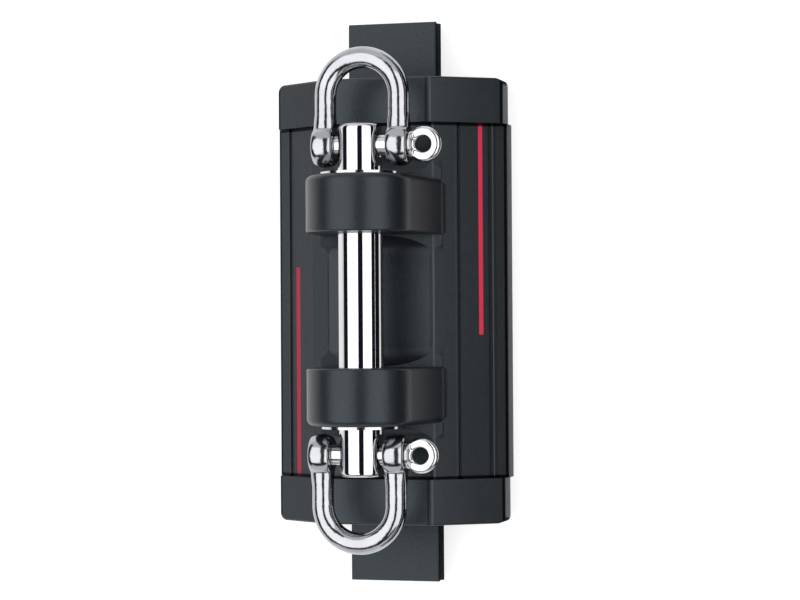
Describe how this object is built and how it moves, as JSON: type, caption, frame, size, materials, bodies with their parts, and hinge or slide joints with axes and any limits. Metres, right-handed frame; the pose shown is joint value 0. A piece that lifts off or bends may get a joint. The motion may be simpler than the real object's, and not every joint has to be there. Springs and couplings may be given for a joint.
{
  "type": "spinnaker pole car",
  "caption": "Ball-bearing mast car on a short track, with two lugs carrying a long pole pin and a bow shackle at each end of the pin.",
  "frame": {"origin": "centre of the track section's back face, the face that lies on the mast", "axes": "+Z away from the mast, +Y along the track towards its upper end, +X across the track to the right"},
  "size_m": [0.0698, 0.165, 0.06],
  "materials": {
    "track_anodised": "satin dark anodised extrusion",
    "body_anodised": "hard black anodised, fine satin",
    "cap_moulding": "moulded black plastic",
    "ball_plastic": "smooth load balls",
    "bush_plastic": "smooth bearing plastic",
    "washer_steel": "polished stainless",
    "shackle_steel": "polished forged stainless",
    "shackle_pin_steel": "polished stainless",
    "pin_steel": "polished stainless bar",
    "screw_steel": "stainless, machined"
  },
  "bodies": {
    "track": {"track_section": "track_anodised"},
    "car": {"car_body": "body_anodised", "end_cap_upper": "cap_moulding", "end_cap_lower": "cap_moulding", "ball_train_left": "ball_plastic", "ball_train_right": "ball_plastic", "lug_bush_upper": "bush_plastic", "lug_bush_lower": "bush_plastic", "thrust_washer_upper": "washer_steel", "thrust_washer_lower": "washer_steel", "cap_screw_upper_1": "screw_steel", "cap_screw_upper_2": "screw_steel", "cap_screw_upper_3": "screw_steel", "cap_screw_upper_4": "screw_steel", "cap_screw_lower_1": "screw_steel", "cap_screw_lower_2": "screw_steel", "cap_screw_lower_3": "screw_steel", "cap_screw_lower_4": "screw_steel"},
    "pole_pin": {"pole_pin": "pin_steel"},
    "upper_shackle": {"shackle_bow_upper": "shackle_steel", "shackle_pin_upper": "shackle_pin_steel"},
    "lower_shackle": {"shackle_bow_lower": "shackle_steel", "shackle_pin_lower": "shackle_pin_steel"}
  },
  "joints": [
    {"name": "car_slide", "type": "slide", "parent": "track", "child": "car", "axis": [0, 1, 0], "range_m": [-0.0175, 0.0175]},
    {"name": "pin_turn", "type": "hinge", "parent": "car", "child": "pole_pin", "pos_m": [0, 0, 0.0446], "axis": [0, 1, 0], "range_deg": [-90, 45]},
    {"name": "upper_shackle_swing", "type": "hinge", "parent": "pole_pin", "child": "upper_shackle", "pos_m": [0, 0.0436, 0.0446], "axis": [1, 0, 0], "range_deg": [-30, 105]},
    {"name": "lower_shackle_swing", "type": "hinge", "parent": "pole_pin", "child": "lower_shackle", "pos_m": [0, -0.0436, 0.0446], "axis": [-1, 0, 0], "range_deg": [-30, 105]}
  ]
}
